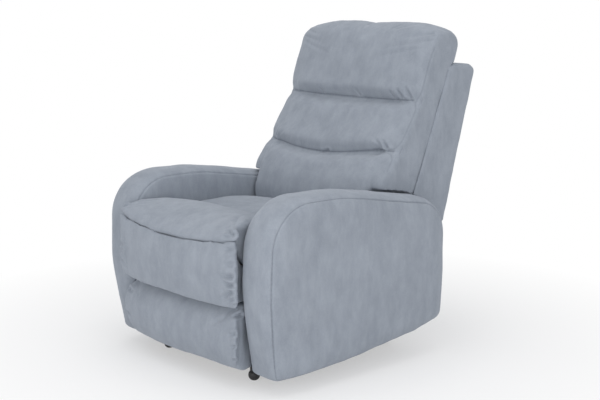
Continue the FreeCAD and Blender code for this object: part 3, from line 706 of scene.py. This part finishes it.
def lower_pad():
    middle = [(-397, 58, 3), (-397, 257, 3), (-440, 257, 14), (-478, 228, 46), (-496, 176, 90),
              (-486, 100, 70), (-468, 66, 22), (-438, 52, 8)]
    side = [(-397, 58, 3), (-397, 257, 3), (-436, 257, 14), (-468, 230, 40), (-484, 176, 90),
            (-474, 104, 70), (-460, 68, 20), (-430, 52, 8)]
    piece = loft("legrest_lower", middle, side, cushion_half, 0.013, fabric, power=4.0)
    remesh(piece)
    relax(piece, 2)
    spill(piece, lower_spill)
    _, y, z = coords(piece).T
    front = ramp(y, -0.415, -0.02)
    ends = np.maximum(ramp(z, 0.248, 0.01), ramp(z, 0.075, -0.01))
    swell(piece, np.maximum(1 - front, ends), pressure=4.0, cap=0.010)
    refine(piece)
    wrinkle(piece, 31, 0.0045, 6.0)
    wrinkle(piece, 32, 0.0013, 24.0)
    folds(piece, [((290, 234), (252, 226), 7, 5), ((292, 186), (256, 174), 8, 5),
                  ((292, 150), (262, 136), 6, 4), ((290, 112), (260, 96), 6, 4),
                  ((-290, 214), (-236, 204), 6, 5), ((-290, 140), (-240, 124), 6, 5)])
    finish_soft(piece, "footrest", ["footrest_lower_pad"])


# ---------------------------------------------------------------- back
back_inward = np.array([0, 0.92, -0.39])    # from the back's front face into its filling
back_slope = 0.404                          # of the back's rear face, y over z
tuft_ends = (285, 288)                      # how far the high and the low channel reach from the middle


def back_loop(foot):
    """Side view of the back cushion from its foot, (y, z, radius) points, up the front and down the rear."""
    front = [(142, 660, 200), (200, 752, 160), (236, 815, 200), (258, 890, 140), (290, 968, 90)]
    top = [(330, 1064, 56), (440, 1062, 46), (453, 985, 30), (430, 921, 8)]
    rear = [(409, 914, 0), (247, 513, 0)]
    return foot + front + top + rear


def tuft_high(x):
    return 812 - 6 * math.cos(math.pi / 2 * min(1.0, abs(x) / 300))


def tuft_low(x):
    return 656 - 28 * math.cos(math.pi / 2 * min(1.0, abs(x + 40) / 330)) ** 1.5


def over(z, x, channel):
    """Height of each point above a channel, in metres."""
    return z - np.array([channel(at * 1000) for at in x]) / 1000


def back_cushion():
    foot = [(50, 356, 6), (46, 430, 80), (44, 500, 40), (70, 575, 70)]
    rear_foot = [(196, 480, 0), (150, 432, 14), (92, 413, 58), (101, 362, 4)]
    middle = back_loop(foot) + rear_foot
    side = [(y + (6 if 520 < z < 1000 and y < 300 else 0), z - (28 if z > 1000 else 0), r)
            for y, z, r in middle]
    piece = loft("back_pad", middle, side, cushion_half, 0.016, fabric, power=3.0)
    wing = back_loop([(60, 470, 60), (76, 575, 70)]) + [(196, 480, 0)]
    wing_side = [(y + (18 if y < 300 and z > 500 else 0), z - (34 if z > 1000 else 0), r)
                 for y, z, r in wing]
    wide = loft("wings", wing, wing_side, back_half + 0.002, 0.020, fabric, power=3.0)
    remesh(wide)
    for hand in (1, -1):
        cut_away(wide, arm_envelope(hand, arm_gap))
    merge(piece, wide)
    remesh(piece)
    relax(piece, 3)
    hold = pull_channels(piece)
    x, y, z = coords(piece).T
    rear_line = (y - 0.228) - (z - 0.511) * back_slope
    rear = ramp(rear_line, -0.020, 0.02) * (z < 0.925)
    low = ramp(z, 0.47, -0.02)
    gusset = ramp(np.abs(x), back_half - 0.006, 0.004) * 0.9
    between_arms = (np.abs(x) > cushion_half - 0.004) * (z < 0.60)
    hold = np.maximum.reduce([hold, rear, low, gusset, between_arms.astype(float)])
    swell(piece, hold, pressure=8.0, cap=0.028)
    sag(piece)
    refine(piece)
    for channel, reach in zip((tuft_high, tuft_low), tuft_ends):
        places = [(at / 1000, ahead_of_all, channel(at) / 1000) for at in np.linspace(-reach, reach, 90)]
        sew(piece, skin_path(piece, places, (0, 1, 0)), depth=0.004, width=0.004, painted_shade=0.8)
    gusset_seams(piece)
    folds(piece, [((276, 820), (254, 858), 6, 5), ((246, 820), (226, 850), 5, 5),
                  ((214, 818), (202, 842), 4, 4), ((60, 814), (36, 846), 3, 5),
                  ((-120, 816), (-140, 842), 3, 5), ((262, 664), (244, 694), 5, 5),
                  ((20, 634), (-24, 622), 4, 5), ((-262, 660), (-250, 690), 4, 5)])
    wrinkle(piece, 41, 0.0050, 6.0)
    wrinkle(piece, 42, 0.0014, 24.0)
    finish_soft(piece, "back", ["headrest_pad", "middle_pad", "lumbar_pad"])


def pull_channels(piece):
    """Pulls the two channels in across the back's front, and returns the pins that keep them there."""
    co = coords(piece)
    facing = (normals_of(piece) @ back_inward < -0.25).astype(float)
    hold, pull, shallow = np.zeros((3, len(co)))
    for channel, reach, depth in zip((tuft_high, tuft_low), tuft_ends, (0.022, 0.024)):
        off = over(co[:, 2], co[:, 0], channel)
        ends = ramp(np.abs(co[:, 0]), reach / 1000, -0.05) * facing
        pull = np.maximum(pull, depth * np.exp(-(off / 0.015) ** 2) * ends)
        hold = np.maximum(hold, np.exp(-(off / 0.007) ** 2) * ends)
        shallow = np.maximum(shallow, np.exp(-(off / 0.020) ** 2))
    pull = np.maximum(pull, 0.010 * shallow * facing)
    ahead = ramp(co[:, 1] - (co[:, 2] - 0.30) * back_slope, 0.09, -0.06)
    pinch = 0.008 * shallow * ahead * ramp(np.abs(co[:, 0]), 0.24, 0.07)
    co[:, 0] -= np.sign(co[:, 0]) * pinch
    set_coords(piece, co + pull[:, None] * back_inward)
    return hold


def sag(piece):
    """The filling settles, so each pad hangs over the channel below it."""
    co = coords(piece)
    facing = ramp(-(normals_of(piece) @ back_inward), 0.2, 0.4)
    ends = ramp(np.abs(co[:, 0]), 0.300, -0.09)
    push = np.zeros(len(co))
    for channel in (tuft_high, tuft_low):
        off = over(co[:, 2], co[:, 0], channel)
        push += 0.011 * np.exp(-((off - 0.030) / 0.026) ** 2)
        push += 0.005 * np.exp(-((off + 0.026) / 0.020) ** 2)
    set_coords(piece, co - (push * facing * ends)[:, None] * back_inward)


def gusset_seams(piece):
    """The seams along both sides of the front panel, from the headrest's corner to the arm's top."""
    line = [(328, 978), (304, 930), (262, 812), (226, 752), (172, 668), (118, 598)]
    places = dense([(0, y / 1000, z / 1000) for y, z in line], 0.006)
    beside_all = 0.5
    for side in (1, -1):
        start = [(side * beside_all, p[1], p[2]) for p in places]
        path = skin_path(piece, start, (-side, 0, 0))
        if len(path):
            sew(piece, path, depth=0.0016, width=0.004, painted_shade=0.35)


def outer_cover():
    """The padded cover over the back's frame: open in front, and cut clear of the arms and of the lumbar
    pad's sweep round the hinge."""
    corners = [(196, 470, 0), (229, 513, 0), (392, 914, 0), (432, 924, 6), (502, 921, 10), (526, 904, 16),
               (472, 712, 900), (430, 574, 900), (380, 402, 8), (308, 398, 0)]
    wall = 0.010
    fine = 0.004
    piece = loft("back_shell", corners, corners, cover_half, 0.014, fabric)
    inner = [(120, 470, 0), (186, 511, 0), (348, 912, 0), (504, 898, 8), (366, 416, 0), (300, 380, 0)]
    remesh(piece, fine)
    cut_away(piece, loft("hollow", inner, inner, cover_half - wall, 0.0, fabric))
    hinge_y, hinge_z, radius = 160, 372, 156
    turns = [math.radians(a) for a in range(0, 360, 10)]
    circle = outline([(hinge_y + radius * math.cos(a), hinge_z + radius * math.sin(a), 0) for a in turns])
    rings = [np.column_stack([np.full(len(circle), x), circle]) for x in (-0.34, 0.34)]
    cut_away(piece, rings_mesh("sweep", rings, fabric))
    for hand in (1, -1):
        cut_away(piece, arm_envelope(hand, arm_gap))
    remesh(piece, fine)
    relax(piece, 3)
    refine(piece)
    wrinkle(piece, 51, 0.0030, 6.0)
    wrinkle(piece, 52, 0.0010, 24.0)
    finish_soft(piece, "back", ["back_outer_cover"])


def rear_panel():
    low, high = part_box("rear_panel")
    y0, y1, z0, z1 = (v * 1000 for v in (low.y, high.y, low.z, high.z))
    corners = [(y0, z0, 4), (y0, z1, 4), (y1, z1, 5), (y1 + 2, (z0 + z1) / 2, 300), (y1, z0, 5)]
    piece = loft("lower_back_panel", corners, corners, high.x - 0.001, 0.006, fabric)
    remesh(piece, 0.004)
    relax(piece, 2)
    refine(piece)
    wrinkle(piece, 61, 0.0030, 8.0)
    finish_soft(piece, "base", ["rear_panel"])


# ---------------------------------------------------------------- camera, light, floor
def camera():
    """Just above the height of the back's top, off the chair's left front corner."""
    data = bpy.data.cameras.new("camera")
    cam = bpy.data.objects.new("camera", data)
    bpy.context.scene.collection.objects.link(cam)
    data.sensor_width = 36
    data.lens = 67.72
    data.clip_start, data.clip_end = 0.05, 60
    back = Vector((0.7305, -0.6600, 0.1754))
    cam.location = (2.732, -2.442, 1.132)
    cam.rotation_mode = "QUATERNION"
    cam.rotation_quaternion = (-back).to_track_quat("-Z", "Y")
    bpy.context.scene.camera = cam


def area_light(name, place, target, size, power):
    data = bpy.data.lights.new(name, "AREA")
    data.shape = "RECTANGLE"
    data.size, data.size_y = size
    data.energy = power
    lamp = bpy.data.objects.new(name, data)
    bpy.context.scene.collection.objects.link(lamp)
    lamp.location = place
    lamp.rotation_mode = "QUATERNION"
    lamp.rotation_quaternion = (Vector(target) - Vector(place)).to_track_quat("-Z", "Y")


def seen_directly(tree):
    """1 for rays from the camera, and for glossy and transmitted ones."""
    paths = tree.nodes.new("ShaderNodeLightPath")
    value = paths.outputs["Is Camera Ray"]
    for other in ("Is Glossy Ray", "Is Transmission Ray"):
        node = tree.nodes.new("ShaderNodeMath")
        node.operation = "MAXIMUM"
        tree.links.new(value, node.inputs[0])
        tree.links.new(paths.outputs[other], node.inputs[1])
        value = node.outputs["Value"]
    return value


def studio():
    """White surroundings to the camera, with soft light from above and the front."""
    world = bpy.data.worlds.new("studio")
    bpy.context.scene.world = world
    world.use_nodes = True
    tree = world.node_tree
    ambient = tree.nodes["Background"]
    ambient.inputs["Color"].default_value = (0.97, 0.98, 1.0, 1)
    ambient.inputs["Strength"].default_value = 0.66
    white = tree.nodes.new("ShaderNodeBackground")
    white.inputs["Color"].default_value = (1, 1, 1, 1)
    mix = tree.nodes.new("ShaderNodeMixShader")
    tree.links.new(seen_directly(tree), mix.inputs["Fac"])
    tree.links.new(ambient.outputs["Background"], mix.inputs[1])
    tree.links.new(white.outputs["Background"], mix.inputs[2])
    tree.links.new(mix.outputs["Shader"], tree.nodes["World Output"].inputs["Surface"])
    area_light("key", (0.9, -2.6, 0.7), (0, 0, 0.2), (1.8, 1.0), 15)
    area_light("top", (0.2, -0.4, 3.4), (0, 0, 0.4), (2.6, 2.6), 25)
    area_light("side", (3.6, -1.0, 1.5), (0, 0, 0.4), (2.4, 2.0), 28)


def floor():
    """A pale floor that keeps the chair's shadow and turns to plain white further out."""
    size = 30.0
    shadow_end, white_start = 0.55, 1.5
    corners = [(-size, -size, 0), (size, -size, 0), (size, size, 0), (-size, size, 0)]
    mesh = bpy.data.meshes.new("floor")
    mesh.from_pydata(corners, [], [(0, 1, 2, 3)])
    plane = bpy.data.objects.new("floor", mesh)
    bpy.context.scene.collection.objects.link(plane)
    material, tree, shader = node_tree("floor")
    shader.inputs["Base Color"].default_value = (0.88, 0.88, 0.885, 1)
    shader.inputs["Roughness"].default_value = 0.9
    place = tree.nodes.new("ShaderNodeTexCoord").outputs["Object"]
    length = tree.nodes.new("ShaderNodeVectorMath")
    length.operation = "LENGTH"
    tree.links.new(place, length.inputs[0])
    far = spread(tree, length.outputs["Value"], shadow_end, white_start, 0.45, 1.0)
    glow = tree.nodes.new("ShaderNodeEmission")
    fade = tree.nodes.new("ShaderNodeMath")
    fade.operation = "MULTIPLY"
    tree.links.new(far, fade.inputs[0])
    tree.links.new(seen_directly(tree), fade.inputs[1])
    mix = tree.nodes.new("ShaderNodeMixShader")
    tree.links.new(fade.outputs["Value"], mix.inputs["Fac"])
    tree.links.new(shader.outputs["BSDF"], mix.inputs[1])
    tree.links.new(glow.outputs["Emission"], mix.inputs[2])
    tree.links.new(mix.outputs["Shader"], tree.nodes["Material Output"].inputs["Surface"])
    mesh.materials.append(material)


camera()
studio()
floor()
dress_cad_nodes()
bpy.context.scene.view_settings.view_transform = "Standard"

for name, side, node in (("arm_pad_left", 1, "arm_cover_left"),
                         ("arm_pad_right", -1, "arm_cover_right")):
    finish_soft(arm(name, side), "base", [node])
seat()
upper_pad()
lower_pad()
back_cushion()
outer_cover()
rear_panel()
